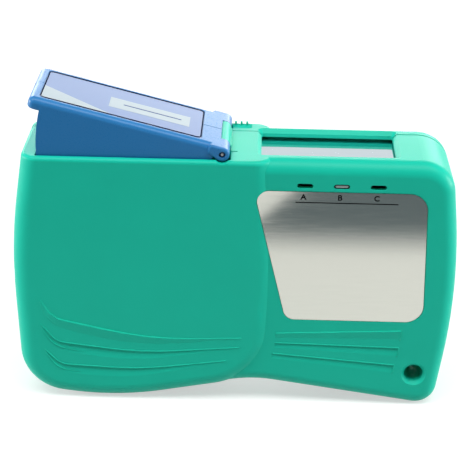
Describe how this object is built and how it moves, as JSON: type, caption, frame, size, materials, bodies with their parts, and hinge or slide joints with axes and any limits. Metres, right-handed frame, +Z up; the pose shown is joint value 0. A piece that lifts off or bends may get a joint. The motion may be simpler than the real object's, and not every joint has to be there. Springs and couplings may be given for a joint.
{
  "type": "fibre optic cleaning cassette",
  "caption": "Hand-held cassette that wipes fibre connectors on cleaning tape: pressing the hinged lever slides the shutter open over the tape.",
  "frame": {"origin": "under the middle of the case, on the surface that it stands on", "axes": "+X along the case towards the window end, +Y from the front face to the back, +Z up"},
  "size_m": [0.1308, 0.032, 0.0966],
  "materials": {
    "green_abs": "moulded satin",
    "blue_abs": "moulded satin",
    "black_abs": "moulded satin",
    "printed_label": "printed film",
    "silver_panel": "metallised film",
    "grey_slide": "moulded satin",
    "steel_pin": "ground",
    "spring_steel": "drawn wire",
    "polished_shutter": "polished sheet",
    "white_acetal": "moulded",
    "grey_reel": "moulded",
    "tape_cloth": "fine woven tape",
    "felt": "felt",
    "pad_rubber": "soft pad"
  },
  "bodies": {
    "case": {"front_case": "green_abs", "nameplate": "silver_panel", "type_indicator": "grey_slide", "hinge_pin": "steel_pin", "idler_axle": "steel_pin", "takeup_axle": "steel_pin", "supply_axle": "steel_pin", "brake_felt": "felt", "tape": "tape_cloth", "platen": "black_abs", "platen_pad": "pad_rubber", "slot_plate": "black_abs", "guide_pins": "steel_pin", "backstop_spring": "spring_steel", "return_spring": "spring_steel"},
    "cover": {"rear_cover": "green_abs"},
    "lever": {"lever_front": "blue_abs", "lever_rear": "blue_abs", "lever_label": "printed_label"},
    "drive": {"drive_wheel": "white_acetal"},
    "idler": {"shutter_idler": "white_acetal"},
    "shutter": {"shutter": "polished_shutter", "shutter_carriage": "white_acetal"},
    "takeup": {"takeup_reel": "grey_reel", "takeup_roll": "tape_cloth"},
    "supply": {"supply_reel": "grey_reel", "supply_roll": "tape_cloth"}
  },
  "joints": [
    {"name": "lever_pivot", "type": "hinge", "parent": "case", "child": "lever", "pos_m": [-0.0039, 0, 0.0811], "axis": [0, -1, 0], "range_deg": [0, 14], "stiffness_Nm_per_rad": 0.4, "springref_deg": -14.32, "deforming": ["return_spring"]},
    {"name": "drive_spin", "type": "hinge", "parent": "case", "child": "drive", "pos_m": [-0.02847, 0, 0.03245], "axis": [0, -1, 0], "range_deg": [-114, 0]},
    {"name": "idler_spin", "type": "hinge", "parent": "case", "child": "idler", "pos_m": [-0.00574, 0, 0.0588], "axis": [0, -1, 0], "range_deg": [0, 161]},
    {"name": "shutter_slide", "type": "slide", "parent": "case", "child": "shutter", "axis": [-1, 0, 0], "range_m": [0, 0.0404]},
    {"name": "takeup_spin", "type": "hinge", "parent": "case", "child": "takeup", "pos_m": [-0.02847, 0, 0.03245], "axis": [0, -1, 0], "continuous": true},
    {"name": "supply_spin", "type": "hinge", "parent": "case", "child": "supply", "pos_m": [0.0306, 0, 0.038], "axis": [0, -1, 0], "continuous": true},
    {"name": "cover_pull", "type": "slide", "parent": "case", "child": "cover", "axis": [0, 1, 0], "range_m": [0, 0.03]}
  ],
  "couplings": [
    {"joint": "drive_spin", "follows": "lever_pivot", "ratio": -8.0833},
    {"joint": "idler_spin", "follows": "lever_pivot", "ratio": 11.451},
    {"joint": "shutter_slide", "follows": "lever_pivot", "m_per_rad": 0.1649},
    {"joint": "takeup_spin", "follows": "supply_spin", "ratio": -1.2857}
  ]
}
